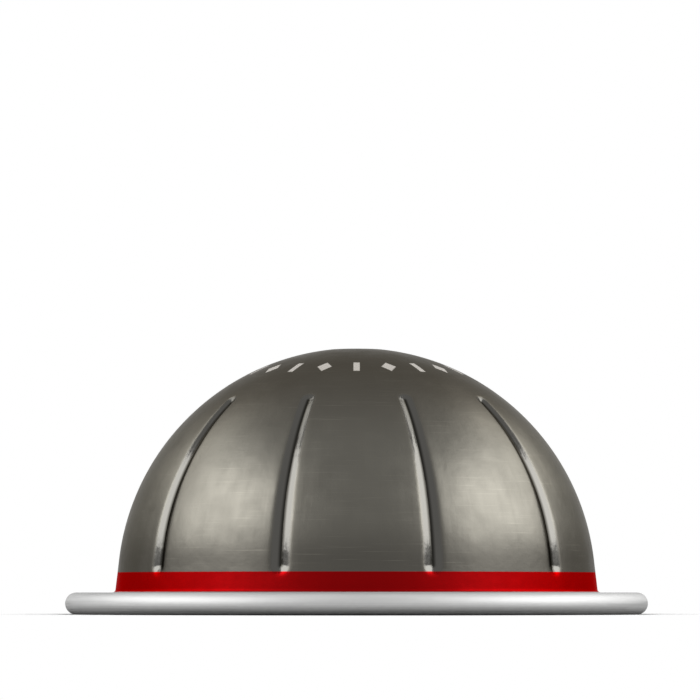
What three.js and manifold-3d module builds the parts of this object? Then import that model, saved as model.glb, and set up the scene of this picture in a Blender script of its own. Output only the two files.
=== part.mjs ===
// A single-serve coffee pod, standing dome up on its curled rim. Millimetres, +Z up.
// The origin is the middle of the ring that the pod stands on, and -Y is its front.
//
// The pod is two pieces of aluminium. The cup is drawn from one sheet: a dome with pressed grooves, a short
// straight skirt, a flat flange, and an edge curled into a roll. The lid is a disc of foil, sealed to the
// underside of the flange. The pod is closed and can't be seen into, so the cup is solid behind its walls.

import * as THREE from 'three';
import { mergeVertices, toCreasedNormals } from 'three/addons/utils/BufferGeometryUtils.js';
import Module from 'manifold-3d';

const manifold = await Module();
manifold.setup();

const rad = THREE.MathUtils.degToRad;
const lerp = THREE.MathUtils.lerp;

// Sheet and curled rim
const SHEET = 0.25;             // thickness of the drawn sheet
const CURL_DIAMETER = 2.3;      // outside of the roll
const CURL_MOUTH = 0.3;         // gap between the sheet's cut edge and the flange above it
const FOOT_WIDTH = 0.5;         // flat under the roll, which the pod stands on
const FLANGE_REACH = 5.23;      // from the foot of the skirt to the outside of the roll

// Dome and skirt
const DOME_RADIUS = 25.05;
const DOME_CENTRE_RISE = 0.58;  // height of the dome's centre over the flange
const SKIRT_DRAFT = 6.5;        // degrees that the skirt leans in from the vertical, tangent to the dome
const SKIRT_FILLET = 0.35;      // radius where the skirt turns out into the flange
const CROWN_RADIUS = 2.9;       // flat on top of the dome

// Pressed grooves
const GROOVE_COUNT = 10;
const GROOVE_TOP_ANGLE = 52.4;  // degrees above the dome's centre, at the upper tip
const GROOVE_FOOT_RISE = 1.7;   // height of the lower tip over the flange
const GROOVE_TOP_WIDTH = 1.5;
const GROOVE_FOOT_WIDTH = 2.2;
const GROOVE_TOP_DEPTH = 0.5;
const GROOVE_FOOT_DEPTH = 0.65;

// Printed band
const BAND_RISE = 2.1;          // height of the band's upper edge over the flange

// Lid
const FOIL = 0.1;               // thickness of the foil
const LID_CLEARANCE = 0.3;      // between the lid's edge and the roll
const SEAL_WIDTH = 2.2;         // ring of foil that is sealed to the flange
const LID_BULGE = 0.4;          // how far the foil swells at its middle

// Facets
const SEGMENTS_PER_GROOVE = 8;
const SEGMENTS = GROOVE_COUNT * SEGMENTS_PER_GROOVE;
const DOME_STEPS = 15;
const CURL_INNER_STEPS = 6;
const CURL_TIP_STEPS = 4;       // from the cut edge to the foot
const CURL_OUTER_STEPS = 8;     // from the foot round to the flange
const FILLET_STEPS = 2;
const GROOVE_STEPS = 10;
const TIP_ANGLES = [12, 40, 68]; // degrees round each groove's ball end where a section is cut
const TOOL_STEPS = 6;            // across the tool that presses a groove
const TOOL_SPREAD = 1.35;        // the tool's width over the groove's, so that it stands clear of the dome
const LID_STEPS = 3;             // from the lid's middle to its sealed ring
const CREASE_ANGLE = 20;         // degrees between facets from which an edge is drawn sharp
const MERGE_DISTANCE = 1e-4;     // corners closer than this are one

// Colours
const LACQUER = new THREE.Color(0x6b665e);
const BAND_RED = new THREE.Color(0xa80d0c);
const BARE_ALUMINIUM = new THREE.Color(0xd4d5d6);

// Sizes that follow from those above
const curlRadius = CURL_DIAMETER / 2;
const footAngle = THREE.MathUtils.radToDeg(Math.asin(FOOT_WIDTH / 2 / curlRadius));
const curlCentreHeight = curlRadius * Math.cos(rad(footAngle));
const flangeTop = curlCentreHeight + curlRadius;
const flangeUnderside = flangeTop - SHEET;
const domeCentreHeight = flangeTop + DOME_CENTRE_RISE;
const skirtTop = new THREE.Vector2(
  DOME_RADIUS * Math.cos(rad(SKIRT_DRAFT)),
  domeCentreHeight + DOME_RADIUS * Math.sin(rad(SKIRT_DRAFT)),
);
const skirtFoot = new THREE.Vector2(
  skirtTop.x + (skirtTop.y - flangeTop) * Math.tan(rad(SKIRT_DRAFT)),
  flangeTop,
);
const rimRadius = skirtFoot.x + FLANGE_REACH;
const curlCentre = new THREE.Vector2(rimRadius - curlRadius, curlCentreHeight);
const crownAngle = THREE.MathUtils.radToDeg(Math.acos(CROWN_RADIUS / DOME_RADIUS));

// Points along a round stretch of a section, from one angle to another, in degrees.
function arc(centre, radius, from, to, steps) {
  const clockwise = to < from;
  return new THREE.EllipseCurve(centre.x, centre.y, radius, radius, rad(from), rad(to), clockwise)
    .getPoints(steps);
}

// The meridian: the outline of the skirt and the dome, from the flange up to the crown. Grooves follow it.
const meridian = new THREE.Path();
meridian.moveTo(skirtFoot.x, skirtFoot.y);
meridian.lineTo(skirtTop.x, skirtTop.y);
meridian.absarc(0, domeCentreHeight, DOME_RADIUS, rad(SKIRT_DRAFT), rad(crownAngle), false);

// A half section, turned about the Z axis. It starts and ends on the axis.
function revolve(section) {
  return new THREE.LatheGeometry(section, SEGMENTS).rotateX(Math.PI / 2);
}

// A mesh's shape as a solid that can be cut. Only positions are kept, so that shared corners merge.
function solidOf(geometry) {
  const shape = geometry.clone();
  shape.deleteAttribute('normal');
  shape.deleteAttribute('uv');
  const merged = mergeVertices(shape, MERGE_DISTANCE);
  return new manifold.Manifold(new manifold.Mesh({
    numProp: 3,
    vertProperties: merged.attributes.position.array,
    triVerts: new Uint32Array(merged.index.array),
  }));
}

// A cut solid as a mesh's shape again.
function geometryOf(solid) {
  const { vertProperties, triVerts } = solid.getMesh();
  return new THREE.BufferGeometry()
    .setAttribute('position', new THREE.BufferAttribute(new Float32Array(vertProperties), 3))
    .setIndex(new THREE.BufferAttribute(new Uint32Array(triVerts), 1));
}

// The rolled edge in section. The sheet leaves the flange, turns down, in and up again, and its cut edge
// stops short of the flange, so that the roll is a hollow tube with a narrow mouth.
function curlSection() {
  const innerRadius = curlRadius - SHEET;
  const mouthHeight = flangeUnderside - CURL_MOUTH - curlCentreHeight;
  const cutEdge = 180 - THREE.MathUtils.radToDeg(Math.asin(mouthHeight / curlRadius));
  const bottom = 270;
  const top = 450;
  return [
    ...arc(curlCentre, innerRadius, top, cutEdge, CURL_INNER_STEPS),
    ...arc(curlCentre, curlRadius, cutEdge, bottom - footAngle, CURL_TIP_STEPS),
    ...arc(curlCentre, curlRadius, bottom + footAngle, top, CURL_OUTER_STEPS),
  ];
}

// The round corner between the flange and the skirt, which leans back from it by the draft.
function filletSection() {
  const turn = 90 - SKIRT_DRAFT;
  const setback = SKIRT_FILLET * Math.tan(rad(turn / 2));
  const centre = new THREE.Vector2(skirtFoot.x + setback, flangeTop + SKIRT_FILLET);
  return arc(centre, SKIRT_FILLET, 270, 270 - turn, FILLET_STEPS);
}

// The wall at a height over the flange: on the straight skirt, or on the dome above it.
function wallAt(rise) {
  const onSkirt = skirtFoot.x - rise * Math.tan(rad(SKIRT_DRAFT));
  const onDome = Math.sqrt(Math.max(0, DOME_RADIUS ** 2 - (rise - DOME_CENTRE_RISE) ** 2));
  return new THREE.Vector2(flangeTop + rise < skirtTop.y ? onSkirt : onDome, flangeTop + rise);
}

// The dome, from the top of the skirt to the edge of the flat crown, with a corner at the band's upper edge,
// so that the print ends on a clean line.
function wallSection() {
  const centre = new THREE.Vector2(0, domeCentreHeight);
  const dome = arc(centre, DOME_RADIUS, SKIRT_DRAFT, crownAngle, DOME_STEPS);
  return [wallAt(BAND_RISE), ...dome].sort((a, b) => a.y - b.y);
}

function cupSection() {
  const wall = wallSection();
  return [
    new THREE.Vector2(0, flangeUnderside),
    ...curlSection(),
    ...filletSection(),
    ...wall,
    new THREE.Vector2(0, wall.at(-1).y),
  ];
}

// A groove's pressing tool in section, across the groove: a parabola that sinks to depth at the middle and
// leaves the surface at halfWidth on each side. x runs across the groove, y out of the dome.
function toolSection(halfWidth, depth) {
  return Array.from({ length: TOOL_STEPS + 1 }, (_, i) => {
    const share = lerp(-TOOL_SPREAD, TOOL_SPREAD, i / TOOL_STEPS);
    return new THREE.Vector2(share * halfWidth, depth * (share ** 2 - 1));
  });
}

// Where the tool is cut across, from the lower tip to the upper: the distance along the meridian, that
// distance as a share of the groove, and how much of its full size the tool has there. Both ends are round,
// like a ball, and one cut lies on the band's edge.
function toolStations() {
  const skirtLength = skirtTop.distanceTo(skirtFoot);
  const start = GROOVE_FOOT_RISE / Math.cos(rad(SKIRT_DRAFT));
  const end = skirtLength + DOME_RADIUS * rad(GROOVE_TOP_ANGLE - SKIRT_DRAFT);
  const footRound = GROOVE_FOOT_WIDTH / 2;
  const topRound = GROOVE_TOP_WIDTH / 2;
  const tipSteps = TIP_ANGLES.map((angle) => 1 - Math.cos(rad(angle)));
  const cuts = [
    BAND_RISE / Math.cos(rad(SKIRT_DRAFT)),
    ...tipSteps.flatMap((step) => [start + footRound * step, end - topRound * step]),
  ];
  for (let i = 0; i <= GROOVE_STEPS; i++) {
    cuts.push(lerp(start + footRound, end - topRound, i / GROOVE_STEPS));
  }
  const inside = cuts.filter((at) => at > start && at < end).sort((a, b) => a - b);
  return inside.map((at) => {
    const fromTip = Math.min((at - start) / footRound, (end - at) / topRound, 1);
    return { at, along: (at - start) / (end - start), size: Math.sqrt(1 - (1 - fromTip) ** 2) };
  });
}

// The pressing tool for the groove at the back (+Y): its sections, set square to the meridian and joined.
function grooveTool() {
  const length = meridian.getLength();
  const rings = toolStations().map(({ at, size, along }) => {
    const halfWidth = size * lerp(GROOVE_FOOT_WIDTH, GROOVE_TOP_WIDTH, along) / 2;
    const depth = size * lerp(GROOVE_FOOT_DEPTH, GROOVE_TOP_DEPTH, along);
    const point = meridian.getPoint(at / length);
    const tangent = meridian.getTangent(at / length);
    return toolSection(halfWidth, depth).map(({ x, y }) => new THREE.Vector3(
      x,
      point.x + y * tangent.y,
      point.y - y * tangent.x,
    ));
  });
  return loft(rings);
}

// A closed shape through rings of points, each with as many points as the next, with a flat end at each end.
function loft(rings) {
  const count = rings[0].length;
  const index = [];
  for (let ring = 0; ring < rings.length - 1; ring++) {
    for (let i = 0; i < count; i++) {
      const a = ring * count + i;
      const b = ring * count + ((i + 1) % count);
      index.push(a, b, b + count, a, b + count, a + count);
    }
  }
  const last = (rings.length - 1) * count;
  for (let i = 1; i < count - 1; i++) {
    index.push(0, i + 1, i, last, last + i, last + i + 1);
  }
  return new THREE.BufferGeometry().setFromPoints(rings.flat()).setIndex(index);
}

// The grooves stand evenly round the dome, with the front midway between two of them.
function grooveTools() {
  const tool = grooveTool();
  const pitch = 360 / GROOVE_COUNT;
  const turns = Array.from({ length: GROOVE_COUNT }, (_, i) => rad((i + 0.5) * pitch));
  return turns.map((turn) => solidOf(tool.clone().rotateZ(turn)));
}

// The colour at a height over the flange: the flange and roll are bare, the foot of the skirt is printed with
// a band, and the dome above it is lacquered.
function finishAt(rise) {
  if (rise < MERGE_DISTANCE) {
    return BARE_ALUMINIUM;
  }
  return rise < BAND_RISE ? BAND_RED : LACQUER;
}

// Gives each facet the colour of the finish at its middle.
function paintCup(geometry) {
  const position = geometry.attributes.position;
  const colours = new Float32Array(position.count * 3);
  const corner = new THREE.Vector3();
  for (let face = 0; face < position.count; face += 3) {
    const middle = new THREE.Vector3();
    for (let i = 0; i < 3; i++) {
      middle.addScaledVector(corner.fromBufferAttribute(position, face + i), 1 / 3);
    }
    const colour = finishAt(middle.z - flangeTop);
    for (let i = 0; i < 3; i++) {
      colour.toArray(colours, (face + i) * 3);
    }
  }
  return geometry.setAttribute('color', new THREE.BufferAttribute(colours, 3));
}

function makeCup() {
  const drawn = solidOf(revolve(cupSection()));
  const pressed = grooveTools().reduce((cup, tool) => cup.subtract(tool), drawn);
  const geometry = toCreasedNormals(geometryOf(pressed), rad(CREASE_ANGLE));
  const material = new THREE.MeshStandardMaterial({ vertexColors: true, metalness: 0.85, roughness: 0.38 });
  const cup = new THREE.Mesh(paintCup(geometry), material);
  cup.name = 'drawn_cup';
  return cup;
}

// The lid: a flat ring sealed to the flange, and inside it a panel that the pressure of the coffee swells.
function lidSection() {
  const edge = curlCentre.x - curlRadius - LID_CLEARANCE;
  const panel = edge - SEAL_WIDTH;
  const swell = Array.from({ length: LID_STEPS + 1 }, (_, i) => {
    const share = i / LID_STEPS;
    return new THREE.Vector2(panel * share, flangeUnderside - LID_BULGE * (1 - share ** 2) ** 2);
  });
  const upper = [...swell, new THREE.Vector2(edge, flangeUnderside)];
  const lower = upper.map(({ x, y }) => new THREE.Vector2(x, y - FOIL));
  return [...lower, ...upper.reverse()];
}

function makeLid() {
  const material = new THREE.MeshStandardMaterial({ color: BARE_ALUMINIUM, metalness: 0.9, roughness: 0.3 });
  const lid = new THREE.Mesh(revolve(lidSection()), material);
  lid.name = 'foil_lid';
  return lid;
}

const pod = new THREE.Group();
pod.add(makeCup(), makeLid());

export default pod;
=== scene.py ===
# %% [markdown]
# This lesson dresses a domed coffee pod in Blender. The pod's solids come from a imported CAD model, which is
# loaded first and never moved. Meshes and places are in metres, with +Z up, and the pod stands on the floor
# at height zero with its front towards -Y.

# %% Load the imported model
import math

import bpy
import numpy as np
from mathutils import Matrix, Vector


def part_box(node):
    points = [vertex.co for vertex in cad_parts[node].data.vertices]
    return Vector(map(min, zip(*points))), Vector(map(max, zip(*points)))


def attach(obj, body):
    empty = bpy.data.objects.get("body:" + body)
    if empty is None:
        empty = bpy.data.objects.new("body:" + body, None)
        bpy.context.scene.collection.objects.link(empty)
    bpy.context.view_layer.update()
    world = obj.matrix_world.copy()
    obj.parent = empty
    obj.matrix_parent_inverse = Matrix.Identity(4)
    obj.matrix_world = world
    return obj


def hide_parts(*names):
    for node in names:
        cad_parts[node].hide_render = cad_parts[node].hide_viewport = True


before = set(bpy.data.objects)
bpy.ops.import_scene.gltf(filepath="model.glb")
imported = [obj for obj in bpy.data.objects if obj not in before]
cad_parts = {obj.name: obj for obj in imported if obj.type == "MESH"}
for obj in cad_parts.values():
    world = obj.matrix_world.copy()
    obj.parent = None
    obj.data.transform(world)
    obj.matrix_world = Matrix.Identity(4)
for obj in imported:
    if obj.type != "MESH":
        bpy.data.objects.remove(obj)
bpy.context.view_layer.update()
print("CAD nodes:", sorted(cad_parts))

# %% [markdown]
# A maker describes a pod by a handful of sizes, and so do we. The rim's radius and the crown's height are
# read from the CAD boxes. The others are the sizes that the cup is drawn and pressed to, in millimetres.

# %% Name the sizes of the cup
MM = 0.001

_, cup_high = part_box("drawn_cup")
_, lid_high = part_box("foil_lid")

RIM_RADIUS = cup_high.x
SHEET = 0.25 * MM
CURL_RADIUS = 1.15 * MM
CURL_MOUTH = 0.3 * MM
FOOT_WIDTH = 0.5 * MM

DOME_RADIUS = 25.05 * MM
DOME_CENTRE_RISE = 0.58 * MM
SKIRT_DRAFT = math.radians(6.5)
SKIRT_FILLET = 0.35 * MM
CROWN_RADIUS = 2.9 * MM
BAND_RISE = 2.1 * MM

foot_angle = math.asin(FOOT_WIDTH / 2 / CURL_RADIUS)
curl_centre = np.array([RIM_RADIUS - CURL_RADIUS, CURL_RADIUS * math.cos(foot_angle)])
flange_top = curl_centre[1] + CURL_RADIUS
flange_underside = flange_top - SHEET
dome_centre = np.array([0.0, flange_top + DOME_CENTRE_RISE])
skirt_top = dome_centre + DOME_RADIUS * np.array([math.cos(SKIRT_DRAFT), math.sin(SKIRT_DRAFT)])
skirt_foot = np.array([skirt_top[0] + (skirt_top[1] - flange_top) * math.tan(SKIRT_DRAFT), flange_top])
skirt_length = float(np.linalg.norm(skirt_top - skirt_foot))
crown_angle = math.acos(CROWN_RADIUS / DOME_RADIUS)
wall_length = skirt_length + DOME_RADIUS * (crown_angle - SKIRT_DRAFT)
print("flange top:", round(flange_top / MM, 3), "mm")
print("wall along the outside:", round(wall_length / MM, 2), "mm")

# %% [markdown]
# The photograph is a straight side view from about half a metre away, with the eye at the level of the rim
# and the pod in the lower half of the frame. We tilt the camera up instead of shifting its lens,
# because a shift would cut the pod off when the same camera looks from above.

# %% Set up the camera
VIEW_DISTANCE = 0.5
EYE_HEIGHT = 2.2 * MM
FRAME_WIDTH = 73.5 * MM
AIM_X = -0.68 * MM
SENSOR_WIDTH = 36.0
NEAREST_SEEN = 0.01

camera = bpy.data.objects.new("camera", bpy.data.cameras.new("camera"))
camera.data.sensor_width = SENSOR_WIDTH
camera.data.lens = SENSOR_WIDTH * VIEW_DISTANCE / FRAME_WIDTH
camera.data.clip_start = NEAREST_SEEN
camera.location = (AIM_X, -VIEW_DISTANCE, EYE_HEIGHT)
camera.rotation_euler = (math.pi / 2 + math.atan((cup_high.z - EYE_HEIGHT) / VIEW_DISTANCE), 0, 0)
bpy.context.scene.collection.objects.link(camera)
bpy.context.scene.camera = camera
print("lens:", round(camera.data.lens, 1), "mm")

# %% [markdown]
# A turned form is a half section spun round an axis. The helpers below make a section's round stretches,
# spin a section with any spacing of columns, and turn the result into a mesh. We write our own spin, and
# don't use the Screw modifier, because the columns have to crowd together where the grooves are.

# %% Spin a section into a mesh
SHARP_ANGLE = math.radians(30)


def arc(centre, radius, start, stop, steps):
    """Points along a round stretch of a section, between two angles in radians."""
    angles = np.linspace(start, stop, steps + 1)
    return centre + radius * np.column_stack([np.cos(angles), np.sin(angles)])


def spin(outline, turns):
    """Rings of points, one for each point of the half section, as an array of rings by columns by 3."""
    radius = outline[:, 0][:, None]
    height = np.broadcast_to(outline[:, 1][:, None], (len(outline), len(turns)))
    return np.stack([radius * np.cos(turns), radius * np.sin(turns), height], axis=2)


def mesh_from_rings(name, rings, low_pole, high_pole):
    """A closed mesh through the rings, which run from one point on the axis to another."""
    ring_count, count = rings.shape[:2]
    last = (ring_count - 1) * count
    low = ring_count * count
    high = low + 1
    columns = [(column, (column + 1) % count) for column in range(count)]
    faces = [(low, b, a) for a, b in columns]
    for ring in range(ring_count - 1):
        base = ring * count
        faces += [(base + a, base + b, base + count + b, base + count + a) for a, b in columns]
    faces += [(high, last + a, last + b) for a, b in columns]
    points = np.concatenate([rings.reshape(-1, 3), [low_pole, high_pole]])
    mesh = bpy.data.meshes.new(name)
    mesh.from_pydata(points.tolist(), [], faces)
    mesh.shade_smooth()
    mesh.set_sharp_from_angle(angle=SHARP_ANGLE)
    piece = bpy.data.objects.new(name, mesh)
    bpy.context.scene.collection.objects.link(piece)
    triangles = sum(len(face) - 2 for face in faces)
    print(name, "has", triangles, "triangles")
    return piece


# %% [markdown]
# Grooves are pressed into the dome. Each is wider and deeper at its foot, and both its ends are round. Near a
# groove the mesh needs a line about every tenth of a millimetre, and elsewhere far fewer, so we space the
# columns and the rings unevenly instead of subdividing the whole cup.

# %% Space the columns and rings
GROOVE_COUNT = 10
GROOVE_PITCH = 2 * math.pi / GROOVE_COUNT
GROOVE_REACH = math.radians(4.5)
GROOVE_FOOT_RISE = 1.7 * MM
GROOVE_TOP_ANGLE = math.radians(52.4)
GROOVE_FOOT_WIDTH = 2.2 * MM
GROOVE_TOP_WIDTH = 1.5 * MM
GROOVE_TOP_SETBACK = 0.3 * MM
GROOVE_COLUMNS = 30
PLAIN_COLUMNS = 15

FRONT = -math.pi / 2
groove_azimuths = FRONT + (np.arange(GROOVE_COUNT) + 0.5) * GROOVE_PITCH
fine_columns = np.linspace(-GROOVE_REACH, GROOVE_REACH, GROOVE_COLUMNS, endpoint=False)
plain_columns = np.linspace(GROOVE_REACH, GROOVE_PITCH - GROOVE_REACH, PLAIN_COLUMNS, endpoint=False)
cup_azimuths = (groove_azimuths[:, None] + np.concatenate([fine_columns, plain_columns])).ravel()

groove_start = GROOVE_FOOT_RISE / math.cos(SKIRT_DRAFT)
groove_end = skirt_length + DOME_RADIUS * (GROOVE_TOP_ANGLE - SKIRT_DRAFT) - GROOVE_TOP_SETBACK
print(len(cup_azimuths), "columns")
print("grooves run from", round(groove_start / MM, 2), "to", round(groove_end / MM, 2), "mm up the wall")


# %% [markdown]
# A point of the wall is found by how far it lies up the outside from the skirt's foot. The straight skirt
# comes first, and runs into the dome without a corner. The same function gives the direction that faces out
# there, because the groove is pressed along it.

# %% Follow the wall
def wall(travel):
    """Points of the wall, and the directions that face out of it, at distances along it from its foot."""
    angle = np.where(travel < skirt_length, SKIRT_DRAFT, SKIRT_DRAFT + (travel - skirt_length) / DOME_RADIUS)
    outwards = np.column_stack([np.cos(angle), np.sin(angle)])
    share = np.clip(travel / skirt_length, 0, 1)[:, None]
    on_skirt = skirt_foot + share * (skirt_top - skirt_foot)
    return np.where(travel[:, None] < skirt_length, on_skirt, dome_centre + DOME_RADIUS * outwards), outwards


def spaced(stops):
    """Distances from one stop to the next, each stretch with its own spacing."""
    stretches = [np.arange(start, stop, step) for (start, step), (stop, _) in zip(stops, stops[1:])]
    return np.concatenate([*stretches, [stops[-1][0]]])


fillet_turn = math.pi / 2 - SKIRT_DRAFT
fillet_setback = SKIRT_FILLET * math.tan(fillet_turn / 2)
TIP_STEP = 0.09 * MM
FOOT_STEP = 0.22 * MM
GROOVE_STEP = 0.36 * MM
CROWN_STEP = 0.55 * MM
BELOW_FOOT_TIP = 0.3 * MM
FOOT_TIP_LENGTH = 1.6 * MM
TOP_TIP_LENGTH = 1.2 * MM
ABOVE_TOP_TIP = 0.4 * MM
travels = spaced([
    (fillet_setback, FOOT_STEP),
    (groove_start - BELOW_FOOT_TIP, TIP_STEP),
    (groove_start + FOOT_TIP_LENGTH, GROOVE_STEP),
    (groove_end - TOP_TIP_LENGTH, TIP_STEP),
    (groove_end + ABOVE_TOP_TIP, CROWN_STEP),
    (wall_length, 0),
])
print(len(travels), "rings on the wall")

# %% [markdown]
# The rim is the sheet's own edge, curled into a roll so that it is stiff and has no sharp edge. Its section
# goes round the inside of the roll, over the cut edge, under the foot and back over the top to the flange.
# The foot has a small flat, because that is what the pod stands on.

# %% Draw the section of the cup
mouth_height = flange_underside - CURL_MOUTH - curl_centre[1]
cut_edge = math.pi - math.asin(mouth_height / CURL_RADIUS)
BOTTOM = 1.5 * math.pi
TOP = 2.5 * math.pi
INNER_ROLL_STEPS = 18
CUT_EDGE_STEPS = 8
OUTER_ROLL_STEPS = 26
FILLET_STEPS = 5

rim_section = np.concatenate([
    arc(curl_centre, CURL_RADIUS - SHEET, TOP, cut_edge, INNER_ROLL_STEPS),
    arc(curl_centre, CURL_RADIUS, cut_edge, BOTTOM - foot_angle, CUT_EDGE_STEPS),
    arc(curl_centre, CURL_RADIUS, BOTTOM + foot_angle, TOP, OUTER_ROLL_STEPS),
])
fillet_centre = skirt_foot + np.array([fillet_setback, SKIRT_FILLET])
fillet_section = arc(fillet_centre, SKIRT_FILLET, BOTTOM, BOTTOM - fillet_turn, FILLET_STEPS)[:-1]
wall_section, wall_outwards = wall(travels)
cup_section = np.concatenate([rim_section, fillet_section, wall_section])
first_wall_ring = len(rim_section) + len(fillet_section)
print(len(cup_section), "points in the section")

# %% [markdown]
# Pressing a groove moves each nearby point of the wall inwards. How far depends on how near the point is to
# the groove's centre line, as a share of the groove's half width there. In the photograph one side of each
# groove is light and the other dark, with a crisp line between them, so the walls are flat and meet in a
# narrow valley. A softened maximum rolls the edges over, as sheet metal does.

# %% Press the grooves
WALL_SLOPE = math.tan(math.radians(21))
VALLEY_ROUND = 0.05
SHOULDER_ROUND = 0.16
PRESSING_REACH = 1.9


def softened(value, rounding):
    """The greater of a value and zero, with its corner rounded off."""
    return (value + np.sqrt(value**2 + rounding**2)) / 2


def groove_share(travel, azimuth, radius):
    """How far points are from the nearest groove's middle, with 1 at its edge, and its half width."""
    turn = (azimuth - groove_azimuths[0] + GROOVE_PITCH / 2) % GROOVE_PITCH - GROOVE_PITCH / 2
    across = radius * np.sin(turn)
    along = np.clip((travel - groove_start) / (groove_end - groove_start), 0, 1)
    half_width = (GROOVE_FOOT_WIDTH + along * (GROOVE_TOP_WIDTH - GROOVE_FOOT_WIDTH)) / 2
    below = groove_start + GROOVE_FOOT_WIDTH / 2 - travel
    above = travel - (groove_end - GROOVE_TOP_WIDTH / 2)
    beyond = np.maximum(0, np.maximum(below, above))
    return np.hypot(across, beyond) / half_width, half_width


def groove_depth(travel, azimuth, radius):
    """How far the wall is pressed in at points of the grid."""
    share, half_width = groove_share(travel, azimuth, radius)
    inside = 1 - (np.sqrt(share**2 + VALLEY_ROUND**2) - VALLEY_ROUND)
    return np.where(share < PRESSING_REACH, WALL_SLOPE * half_width * softened(inside, SHOULDER_ROUND), 0)


wall_grid = (travels[:, None], cup_azimuths[None, :], wall_section[:, 0][:, None])


def drawn_cup_skin():
    """The cup's outside, spun from its section and then pressed."""
    rings = spin(cup_section, cup_azimuths)
    depth = groove_depth(*wall_grid)
    radial = wall_outwards[:, 0][:, None] * depth
    rings[first_wall_ring:, :, 0] -= radial * np.cos(cup_azimuths)
    rings[first_wall_ring:, :, 1] -= radial * np.sin(cup_azimuths)
    rings[first_wall_ring:, :, 2] -= wall_outwards[:, 1][:, None] * depth
    low_pole = (0, 0, flange_underside)
    high_pole = (0, 0, cup_section[-1, 1])
    return mesh_from_rings("cup_skin", rings, low_pole, high_pole)


cup_skin = drawn_cup_skin()

# %% [markdown]
# The punch rubs the lacquer where it presses, so the walls of a groove are smoother than the dome. The walls
# are also painted a little darker and the valley darkest, which is painted shade in the groove. The mesh
# carries both as a number at each point, 1 on the walls or in the valley, 0 away from them, and between the
# two at their edge. The shader reads them later.

# %% Mark the pressed walls
def mark_near_grooves(name, outer, inner):
    """Writes a number that rises from 0 at one share of a groove's half width to 1 at a smaller share."""
    share, _ = groove_share(*wall_grid)
    marked = np.clip((outer - share) / (outer - inner), 0, 1)
    values = np.zeros(len(cup_skin.data.vertices), dtype=np.float32)
    first = first_wall_ring * len(cup_azimuths)
    values[first:first + marked.size] = marked.ravel()
    cup_skin.data.attributes.new(name, "FLOAT", "POINT").data.foreach_set("value", values)
    print(int((values > 0.5).sum()), "points are marked", name)


# The pressed mark carries painted shade as well as smoothness, and the valley mark carries only painted
# shade.
mark_near_grooves("pressed", outer=1.08, inner=0.78)
mark_near_grooves("valley_shade", outer=0.34, inner=0.1)

# %% [markdown]
# The lid is thin foil, sealed flat to the flange in a ring, and free to swell inside it. Foil that has been
# pulled tight over a ring keeps faint radial wrinkles, which die out towards the middle and at the seal. They
# only ever hang down, so that the foil never pokes into the cup.

# %% Make the foil lid
FOIL = 0.1 * MM
SEAL_WIDTH = 2.2 * MM
LID_BULGE = 0.4 * MM
WRINKLE_DEPTH = 0.035 * MM
BROAD_WRINKLES = 17
FINE_WRINKLES = 29
WRINKLE_TURN = 1.3
WRINKLE_DRIFT = 0.4
LID_COLUMNS = 360
PANEL_RINGS = 34

lid_edge = lid_high.x
panel_edge = lid_edge - SEAL_WIDTH


def lid_drop(radius, azimuth):
    """How far the foil hangs below the flange at points of the grid."""
    share = np.clip(radius / panel_edge, 0, 1)
    swell = LID_BULGE * (1 - share**2) ** 2
    broad = np.sin(BROAD_WRINKLES * azimuth + WRINKLE_TURN)
    fine = np.sin(FINE_WRINKLES * azimuth + WRINKLE_DRIFT * np.sin(3 * azimuth))
    fold = 0.5 + 0.25 * broad + 0.25 * fine
    return swell + WRINKLE_DEPTH * fold * (share**3) * (1 - share**6)


def foil_lid_skin():
    """The lid: its lower face, then its edge, then its upper face."""
    panel = np.linspace(panel_edge / PANEL_RINGS, panel_edge, PANEL_RINGS)
    radii = np.concatenate([panel, [lid_edge]])
    azimuth = np.linspace(0, 2 * math.pi, LID_COLUMNS, endpoint=False)
    drop = lid_drop(radii[:, None], azimuth[None, :])
    lower = spin(np.column_stack([radii, np.full(len(radii), flange_underside - FOIL)]), azimuth)
    upper = spin(np.column_stack([radii, np.full(len(radii), flange_underside)]), azimuth)
    lower[:, :, 2] -= drop
    upper[:, :, 2] -= drop
    rings = np.concatenate([lower, upper[::-1]])
    low_pole = (0, 0, flange_underside - LID_BULGE - FOIL)
    high_pole = (0, 0, flange_underside - LID_BULGE)
    return mesh_from_rings("lid_skin", rings, low_pole, high_pole)


lid_skin = foil_lid_skin()

# %% [markdown]
# Each piece rides on the pod's one body and stands for the CAD node that it replaces.

# %% Attach the pieces
for piece, node, slot in (
    (cup_skin, "drawn_cup", "lacquered_aluminium"),
    (lid_skin, "foil_lid", "lid_foil"),
):
    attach(piece, "root")
    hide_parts(node)
    print(piece.name, "stands for", node)

# %% [markdown]
# Shader nodes are easier to read as sums. The class below wraps one output of a node, and each operator on it
# adds a Math node to the same tree. Any other node comes from its one method, which takes the node's type,
# its settings and what goes into its sockets.

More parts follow.
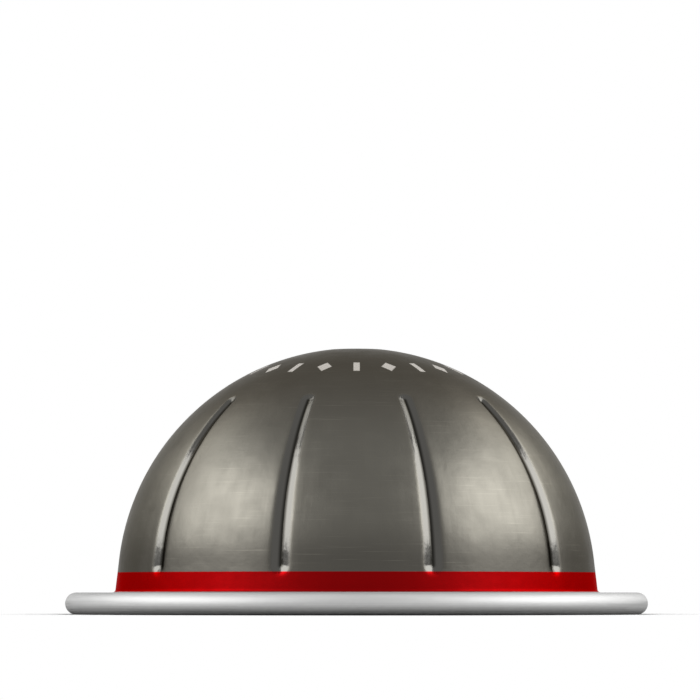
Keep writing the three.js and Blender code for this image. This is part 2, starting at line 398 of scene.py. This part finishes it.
# %% Write shader maths as expressions
class Wire:
    """An output of a shader node that can be used in an expression."""

    def __init__(self, tree, socket=None):
        self.tree = tree
        self.socket = socket

    def node(self, kind, settings=None, inputs=None, output=0):
        """Adds a node of this kind and gives one of its outputs."""
        made = self.tree.nodes.new("ShaderNode" + kind)
        for name, value in (settings or {}).items():
            setattr(made, name, value)
        for name, value in (inputs or {}).items():
            if isinstance(value, Wire):
                self.tree.links.new(value.socket, made.inputs[name])
            else:
                made.inputs[name].default_value = value
        return Wire(self.tree, made.outputs[output] if made.outputs else None)

    def also(self, output):
        """Another output of the node that this one comes from."""
        return Wire(self.tree, self.socket.node.outputs[output])

    def maths(self, operation, *values):
        """A Math node on numbers and wires."""
        return self.node("Math", {"operation": operation}, dict(enumerate(values)))

    def step(self, low, high):
        """Rises smoothly from 0 at low to 1 at high."""
        inputs = {"Value": self, "From Min": low, "From Max": high}
        return self.node("MapRange", {"interpolation_type": "SMOOTHSTEP"}, inputs)

    def swing(self, amount):
        """A noise, which lies about a half, as a number that lies about 0."""
        return (self - 0.5) * amount

    def colours(self, first, second):
        """The first colour where this wire is 0, the second where it is 1."""
        return self.node("Mix", {"data_type": "RGBA"}, {0: self, 6: first, 7: second}, 2)

    def values(self, first, second):
        """The first number where this wire is 0, the second where it is 1."""
        return self.node("Mix", {"data_type": "FLOAT"}, {0: self, 2: first, 3: second}, 0)

    def __add__(self, other):
        return self.maths("ADD", self, other)

    def __sub__(self, other):
        return self.maths("SUBTRACT", self, other)

    def __rsub__(self, other):
        return self.maths("SUBTRACT", other, self)

    def __mul__(self, other):
        return self.maths("MULTIPLY", self, other)

    def __truediv__(self, other):
        return self.maths("DIVIDE", self, other)

    def __rtruediv__(self, other):
        return self.maths("DIVIDE", other, self)

    __radd__ = __add__
    __rmul__ = __mul__


# %% [markdown]
# A material starts empty here, so that it holds only the nodes that we add. A colour is easiest to write as a
# screen shows it, but shaders work in linear light, so a helper converts it by the formula of the sRGB
# standard.

# %% Start a material and write a colour
def new_material(name):
    """An empty material, and a wire to start its nodes from."""
    material = bpy.data.materials.new(name)
    material.use_nodes = True
    material.node_tree.nodes.clear()
    return material, Wire(material.node_tree)


def colour(red, green, blue):
    """A colour as a screen shows it, each part from 0 to 255, as the linear light that shaders use."""
    parts = [part / 255 for part in (red, green, blue)]
    linear = [part / 12.92 if part <= 0.04045 else ((part + 0.055) / 1.055) ** 2.4 for part in parts]
    return (*linear, 1.0)


# %% [markdown]
# The fine marks on a drawn cup run either round it or down it. So the finish is laid out in two measures,
# both in millimetres: the height over the flange, and the distance up the outside. For the noise, the
# direction round the cup is a point on a circle and not an angle, so that it has no seam. Only the ring of
# printed marks counts by the angle, and it closes because it has an even number of them.

# %% Lay out the cup's surface
PER_MM = 1 / MM
NOISE_DETAIL = 3.0
NOISE_RANGE = (0.3, 0.7)


class CupPlaces:
    """Where a point of the cup's surface is, as wires in millimetres and radians."""

    def __init__(self, start):
        point = start.node("TexCoord", output="Object")
        split = start.node("SeparateXYZ", None, {"Vector": point}, "X")
        self.x = split * PER_MM
        self.y = split.also("Y") * PER_MM
        self.rise = split.also("Z") * PER_MM - flange_top * PER_MM
        self.radius = start.maths("SQRT", self.x * self.x + self.y * self.y)
        self.azimuth = start.maths("ARCTAN2", self.y, self.x)
        above_centre = self.rise - DOME_CENTRE_RISE * PER_MM
        self.travel = start.maths("ARCTAN2", above_centre, self.radius) * (DOME_RADIUS * PER_MM)
        self.start = start

    def noise(self, x, y, z, detail=NOISE_DETAIL):
        """A soft random pattern at a place given by three wires."""
        place = self.start.node("CombineXYZ", None, {"X": x, "Y": y, "Z": z})
        inputs = {"Vector": place, "Scale": 1.0, "Detail": detail}
        return self.start.node("TexNoise", None, inputs, "Fac")

    def round_lines(self, length, width):
        """Noise drawn out round the cup, in lines of this length and width in millimetres."""
        return self.noise(self.x / length, self.y / length, self.travel / width)

    def down_lines(self, length, width):
        """Noise drawn out down the wall, in lines of this length and width in millimetres."""
        turns = DOME_RADIUS * PER_MM / width
        across = self.x / self.radius * turns
        along = self.y / self.radius * turns
        return self.noise(across, along, self.travel / length)

    def turned_lines(self, length, width):
        """Noise in rings on the flange and the roll, in lines of this length and width in millimetres."""
        return self.noise(self.x / length, self.y / length, (self.radius + self.rise) / width)

    def cloud(self, size, detail=NOISE_DETAIL):
        """Noise in even patches of this size in millimetres."""
        return self.noise(self.x / size, self.y / size, self.rise / size, detail)


# %% [markdown]
# The dome wears a thin tinted lacquer over bright metal. It is a metal to the eye, so it gets a dark metallic
# base and a satin roughness. Fine scratches run level round it, drawing left faint streaks down the wall, and
# a soft mottle breaks the highlights into patches. The scratches lighten the colour a little, the streaks and
# the mottle change the roughness, and each lies in the surface as a bump. The foot and the crown are painted
# darker, which is painted shade.

# %% Make the lacquer
cup_material, cup_start = new_material("cup_lacquer")
cup = CupPlaces(cup_start)

fine_scratches = cup.round_lines(length=7.0, width=0.09)
streaks = cup.down_lines(length=9.0, width=0.5)
mottle = cup.cloud(size=2.3)
grain = cup.cloud(size=0.3, detail=2.0)
pressed = cup_start.node("Attribute", {"attribute_name": "pressed"}, None, "Fac")
valley_shade = cup_start.node("Attribute", {"attribute_name": "valley_shade"}, None, "Fac")
crinkle = cup.down_lines(length=1.6, width=0.3)

LACQUER = colour(88, 86, 80)
# Painted shade: the lacquer is darker at the foot and the crown.
SHADED_LACQUER_AT_FOOT = colour(74, 72, 67)
SHADED_LACQUER_AT_CROWN = colour(76, 73, 67)
WORN_LACQUER = colour(118, 115, 107)
# Painted shade in the grooves: the walls a little darker, the valleys darkest.
SHADED_PRESSED_LACQUER = colour(79, 78, 75)
VALLEY_SHADE_COLOUR = colour(36, 35, 32)
FOOT_SHADE_RISES = (3.0, 8.0)
CROWN_SHADE_RISES = (14.0, 22.0)
WORN_RANGE = (0.6, 0.76)
WORN_SHARE = 0.3
# Paint shade towards the foot and the crown.
lacquer_colour = cup.rise.step(*FOOT_SHADE_RISES).colours(SHADED_LACQUER_AT_FOOT, LACQUER)
lacquer_colour = cup.rise.step(*CROWN_SHADE_RISES).colours(lacquer_colour, SHADED_LACQUER_AT_CROWN)
worn = fine_scratches.step(*WORN_RANGE) * WORN_SHARE
lacquer_colour = worn.colours(lacquer_colour, WORN_LACQUER)
# Paint shade into the grooves.
lacquer_colour = pressed.colours(lacquer_colour, SHADED_PRESSED_LACQUER)
lacquer_colour = valley_shade.colours(lacquer_colour, VALLEY_SHADE_COLOUR)

LACQUER_ROUGHNESS = 0.37
PRESSED_ROUGHNESS = 0.15
MOTTLE_SWING = 0.24
STREAK_SWING = 0.1
CRINKLE_SWING = 0.1
lacquer_roughness = LACQUER_ROUGHNESS + mottle.swing(MOTTLE_SWING) + streaks.swing(STREAK_SWING)
lacquer_roughness = pressed.values(lacquer_roughness, PRESSED_ROUGHNESS + crinkle.swing(CRINKLE_SWING))
print("lacquer:", [round(part, 3) for part in LACQUER[:3]])

# %% [markdown]
# A red band is printed round the foot of the skirt. It is a see-through ink, so the metal under it still
# shines, and it ends in a crisp edge. Below it, the flange and the roll are bare metal. Height over the
# flange tells the three apart, with an edge soft enough not to look like stairs. Turning the rim leaves fine
# rings in the bare metal, which keep it from looking painted.

# %% Print the band and bare the rim
BAND_TOP = BAND_RISE * PER_MM
BAND_EDGE = 0.025
BARE_TOP = 0.06
BARE_EDGE = 0.03
BAND_RED = (0.165, 0.0016, 0.0022, 1.0)
BARE_METAL = (0.44, 0.44, 0.437, 1.0)
TURNED_METAL = (0.38, 0.38, 0.378, 1.0)

band = 1 - cup.rise.step(BAND_TOP - BAND_EDGE, BAND_TOP + BAND_EDGE)
bare = 1 - cup.rise.step(BARE_TOP - BARE_EDGE, BARE_TOP + BARE_EDGE)
turned = cup.turned_lines(length=18.0, width=0.16)
bare_colour = turned.step(*NOISE_RANGE).colours(TURNED_METAL, BARE_METAL)

METAL_ROUGHNESS = 0.64
TURNED_SWING = 0.2
metal_roughness = METAL_ROUGHNESS + turned.swing(TURNED_SWING)
print("band from", BARE_TOP, "to", round(BAND_TOP, 2), "mm over the flange")

# %% [markdown]
# A ring of small pale marks is printed near the crown, lozenges and bars in turn. They could be cut out of
# the mesh or drawn in an image. Here each is a distance from its own middle, worked out in the shader,
# because then its edge stays sharp at any size.

# %% Print a ring of plain marks
MARK_COUNT = 20
MARK_PITCH = 2 * math.pi / MARK_COUNT
MARK_RING_RADIUS = 10.7
MARK_HALF_LENGTH = 1.1
LOZENGE_HALF_WIDTH = 0.78
BAR_HALF_WIDTH = 0.32
MARK_EDGE = 0.1
MARK_COLOUR = colour(168, 163, 156)

mark_turn = cup.azimuth / MARK_PITCH + 0.5
mark_number = cup_start.maths("FLOOR", mark_turn)
mark_across = cup_start.maths("ABSOLUTE", (mark_turn - mark_number - 0.5) * cup.radius * MARK_PITCH)
ring_travel = math.acos(MARK_RING_RADIUS / (DOME_RADIUS * PER_MM)) * DOME_RADIUS * PER_MM
mark_along = cup_start.maths("ABSOLUTE", cup.travel - ring_travel)
is_bar = cup_start.maths("FLOORED_MODULO", mark_number, 2.0)
lozenge_size = mark_across / LOZENGE_HALF_WIDTH + mark_along / MARK_HALF_LENGTH
bar_size = cup_start.maths("MAXIMUM", mark_across / BAR_HALF_WIDTH, mark_along / MARK_HALF_LENGTH)
marks = 1 - is_bar.values(lozenge_size, bar_size).step(1 - MARK_EDGE, 1 + MARK_EDGE)
print(MARK_COUNT, "marks,", round(MARK_RING_RADIUS * MARK_PITCH, 2), "mm apart")

# %% [markdown]
# One material carries all of the cup's finishes, because they are layers on one sheet: lacquer, red ink and
# bare metal. Each has its own shader, and masks mix the three. A shader's metal turns white where it faces
# away from the eye, but lacquer and ink keep their colour there, so each shader gets a tint of its own for
# its edges: grey for the lacquer, red for the ink, and nearly black for the rim, which paints shade on its
# ends.
# The heights of the bumps are in millimetres. A scratch is at most 0.6 micrometres high, and the mottle 42.

# %% Put the cup's finishes together
SCRATCH_HEIGHT = 0.0006
STREAK_HEIGHT = 0.004
MOTTLE_HEIGHT = 0.042
GRAIN_HEIGHT = 0.001
CRINKLE_HEIGHT = 0.02
TURNED_HEIGHT = 0.0008
MARK_COVER = 0.7
INK_EXTRA_ROUGHNESS = 0.12
height = fine_scratches * SCRATCH_HEIGHT + streaks * STREAK_HEIGHT + mottle * MOTTLE_HEIGHT
height = height + grain * GRAIN_HEIGHT + crinkle * pressed * CRINKLE_HEIGHT
height = height + turned * bare * TURNED_HEIGHT
cup_normal = cup_start.node("Bump", None, {"Height": height, "Strength": 1.0, "Distance": MM})


def finish(base, metallic, roughness, edge):
    """One layer of the cup's finish, with the tint that its edges have."""
    return cup_start.node("BsdfPrincipled", None, {
        "Base Color": base,
        "Metallic": metallic,
        "Roughness": roughness,
        "Normal": cup_normal,
        "Specular Tint": edge,
    })


LACQUER_EDGE = (0.49, 0.48, 0.46, 1.0)
INK_EDGE = (0.95, 0.012, 0.012, 1.0)
# The rim's nearly black edge tint is painted shade on its ends.
SHADED_METAL_EDGE = (0.08, 0.08, 0.08, 1.0)
marked_colour = marks.colours(lacquer_colour, MARK_COLOUR)
lacquer = finish(marked_colour, 1.0 - marks * MARK_COVER, lacquer_roughness, LACQUER_EDGE)
ink = finish(BAND_RED, 1.0, lacquer_roughness + INK_EXTRA_ROUGHNESS, INK_EDGE)
bare_metal = finish(bare_colour, 1.0, metal_roughness, SHADED_METAL_EDGE)
on_wall = cup_start.node("MixShader", None, {0: band, 1: lacquer, 2: ink})
cup_shader = cup_start.node("MixShader", None, {0: bare, 1: on_wall, 2: bare_metal})
cup_start.node("OutputMaterial", None, {"Surface": cup_shader})
cup_skin.data.materials.append(cup_material)
print("cup material:", len(cup_material.node_tree.nodes), "nodes")

# %% [markdown]
# The lid is rolled foil, brighter than the cup and still showing the fine straight lines of the rolls. They
# all run one way across the disc. The seal is pressed a little rougher by the heated ring that welds it.

# %% Make the foil
foil_material, foil_start = new_material("rolled_foil")
foil_point = foil_start.node("TexCoord", output="Object")
foil_split = foil_start.node("SeparateXYZ", None, {"Vector": foil_point}, "X")
foil_x = foil_split * PER_MM
foil_y = foil_split.also("Y") * PER_MM
foil_radius = foil_start.maths("SQRT", foil_x * foil_x + foil_y * foil_y)


def foil_noise(length, width):
    """Noise in lines along X, of this length and width in millimetres."""
    place = foil_start.node("CombineXYZ", None, {"X": foil_x / length, "Y": foil_y / width, "Z": 0.0})
    return foil_start.node("TexNoise", None, {"Vector": place, "Scale": 1.0, "Detail": NOISE_DETAIL}, "Fac")


FOIL_DARK = (0.57, 0.57, 0.58, 1.0)
FOIL_LIGHT = (0.68, 0.68, 0.68, 1.0)
FOIL_LINES = (0.8, 0.8, 0.8, 1.0)
FOIL_SEAL = (0.45, 0.45, 0.46, 1.0)
rolling = foil_noise(length=12.0, width=0.12)
foil_patches = foil_noise(length=9.0, width=7.0)

SEAL_START = panel_edge * PER_MM
SEAL_EDGE = 0.1
LINES_RANGE = (0.35, 0.7)
LINES_SHARE = 0.5
SEAL_SHARE = 0.7
seal = foil_radius.step(SEAL_START - SEAL_EDGE, SEAL_START + SEAL_EDGE)
foil_colour = foil_patches.step(*NOISE_RANGE).colours(FOIL_DARK, FOIL_LIGHT)
foil_colour = (rolling.step(*LINES_RANGE) * LINES_SHARE).colours(foil_colour, FOIL_LINES)
foil_colour = (seal * SEAL_SHARE).colours(foil_colour, FOIL_SEAL)

FOIL_ROUGHNESS = 0.24
LINES_SWING = 0.14
SEAL_EXTRA_ROUGHNESS = 0.12
LINES_HEIGHT = 0.001
PATCHES_HEIGHT = 0.05
foil_roughness = FOIL_ROUGHNESS + rolling.swing(LINES_SWING) + seal * SEAL_EXTRA_ROUGHNESS
foil_height = rolling * LINES_HEIGHT + foil_patches * PATCHES_HEIGHT
foil_normal = foil_start.node("Bump", None, {"Height": foil_height, "Strength": 1.0, "Distance": MM})
foil_shader = foil_start.node("BsdfPrincipled", None, {
    "Base Color": foil_colour,
    "Metallic": 1.0,
    "Roughness": foil_roughness,
    "Normal": foil_normal,
})
foil_start.node("OutputMaterial", None, {"Surface": foil_shader})
lid_skin.data.materials.append(foil_material)
print("foil material:", len(foil_material.node_tree.nodes), "nodes")

# %% [markdown]
# The background of the photograph is pure white, and the pod is dark, so the white can't come from the lamps.
# A white world that lit everything would wash out the pod's shading. So ours shows white only to the eye and
# to reflections, and lights matt surfaces with a soft grey.

# %% Make the white room
SKY_LIGHT = 0.2
WHITE = (1.0, 1.0, 1.0, 1.0)


def seen_directly(start):
    """A wire that is 1 for what the eye and reflections see, and 0 for light on matt surfaces."""
    path = start.node("LightPath", output="Is Camera Ray")
    seen = start.maths("MAXIMUM", path, path.also("Is Glossy Ray"))
    return start.maths("MAXIMUM", seen, path.also("Is Transmission Ray"))


world = bpy.data.worlds.new("white_room")
world.use_nodes = True
world.node_tree.nodes.clear()
room = Wire(world.node_tree)
room_light = seen_directly(room).values(SKY_LIGHT, 1.0)
room_shader = room.node("Background", None, {"Color": WHITE, "Strength": room_light})
room.node("OutputWorld", None, {"Surface": room_shader})
bpy.context.scene.world = world
print("the room lights matt surfaces at", SKY_LIGHT)

# %% [markdown]
# The pod stands on a disc that keeps its shadow near the rim, and is painted darker in a thin ring under it.
# A matt floor looks greyer than the background, because it gives back only part of the light on it. So the
# disc fades into the room's white a centimetre further out.

# %% Lay the floor
PALE_FLOOR = (0.8, 0.8, 0.8, 1.0)
SHADED_FLOOR = (0.25, 0.25, 0.25, 1.0)
FLOOR_RADIUS = 0.6
FLOOR_CORNERS = 64
CONTACT_START = 0.0305
CONTACT_END = 0.0325
FADE_START = 0.031
FADE_END = 0.041

floor_material, ground = new_material("white_floor")
ground_point = ground.node("TexCoord", output="Object")
ground_away = ground.node("VectorMath", {"operation": "LENGTH"}, {0: ground_point}, "Value")
under_rim = 1 - ground_away.step(CONTACT_START, CONTACT_END)
matt_colour = under_rim.colours(PALE_FLOOR, SHADED_FLOOR)
matt_floor = ground.node("BsdfDiffuse", None, {"Color": matt_colour})
white_floor = ground.node("Emission", None, {"Color": WHITE, "Strength": 1.0})
fade = ground_away.step(FADE_START, FADE_END) * seen_directly(ground)
floor_shader = ground.node("MixShader", None, {0: fade, 1: matt_floor, 2: white_floor})
ground.node("OutputMaterial", None, {"Surface": floor_shader})

floor_mesh = bpy.data.meshes.new("floor")
floor_turns = np.linspace(0, 2 * math.pi, FLOOR_CORNERS, endpoint=False)
floor_points = [(FLOOR_RADIUS * math.cos(turn), FLOOR_RADIUS * math.sin(turn), 0) for turn in floor_turns]
floor_mesh.from_pydata(floor_points, [], [tuple(range(FLOOR_CORNERS))])
floor_mesh.materials.append(floor_material)
floor = bpy.data.objects.new("floor", floor_mesh)
bpy.context.scene.collection.objects.link(floor)
print("floor fades to white from", round(FADE_START / MM, 1), "to", round(FADE_END / MM, 1), "mm")

# %% [markdown]
# Two wide soft boxes stand to the left and right and look down at the pod. Each paints one broad patch of
# light on the dome, and the front between them stays dark, which is what shows a satin surface best. Two
# smaller ones behind them light the upper ends of the grooves.

# %% Hang the soft boxes
LAMP_DISTANCE = 0.8
LAMP_AIM = (0, 0, 0.012)


def soft_box(name, azimuth, elevation, width, height, radiance):
    """An area lamp aimed at the pod. Azimuth is from the front, positive to the right."""
    light = bpy.data.lights.new(name, "AREA")
    light.shape = "RECTANGLE"
    light.size = width
    light.size_y = height
    light.energy = radiance * math.pi * width * height
    lamp = bpy.data.objects.new(name, light)
    turn = math.radians(azimuth)
    lift = math.radians(elevation)
    away = (math.sin(turn) * math.cos(lift), -math.cos(turn) * math.cos(lift), math.sin(lift))
    lamp.location = [LAMP_AIM[i] + LAMP_DISTANCE * away[i] for i in range(3)]
    lamp.rotation_euler = (math.pi / 2 - lift, 0, turn)
    bpy.context.scene.collection.objects.link(lamp)
    print(name, "power", round(light.energy, 2), "W")


soft_box("left_soft_box", azimuth=-75, elevation=30.5, width=0.76, height=0.5, radiance=5.8)
soft_box("right_soft_box", azimuth=81, elevation=30.5, width=0.78, height=0.5, radiance=6.2)
soft_box("left_back_strip", azimuth=-124, elevation=36, width=0.3, height=0.4, radiance=3.0)
soft_box("right_back_strip", azimuth=126, elevation=36, width=0.3, height=0.4, radiance=4.0)

# %% Set the view transform
bpy.context.scene.view_settings.view_transform = "Standard"
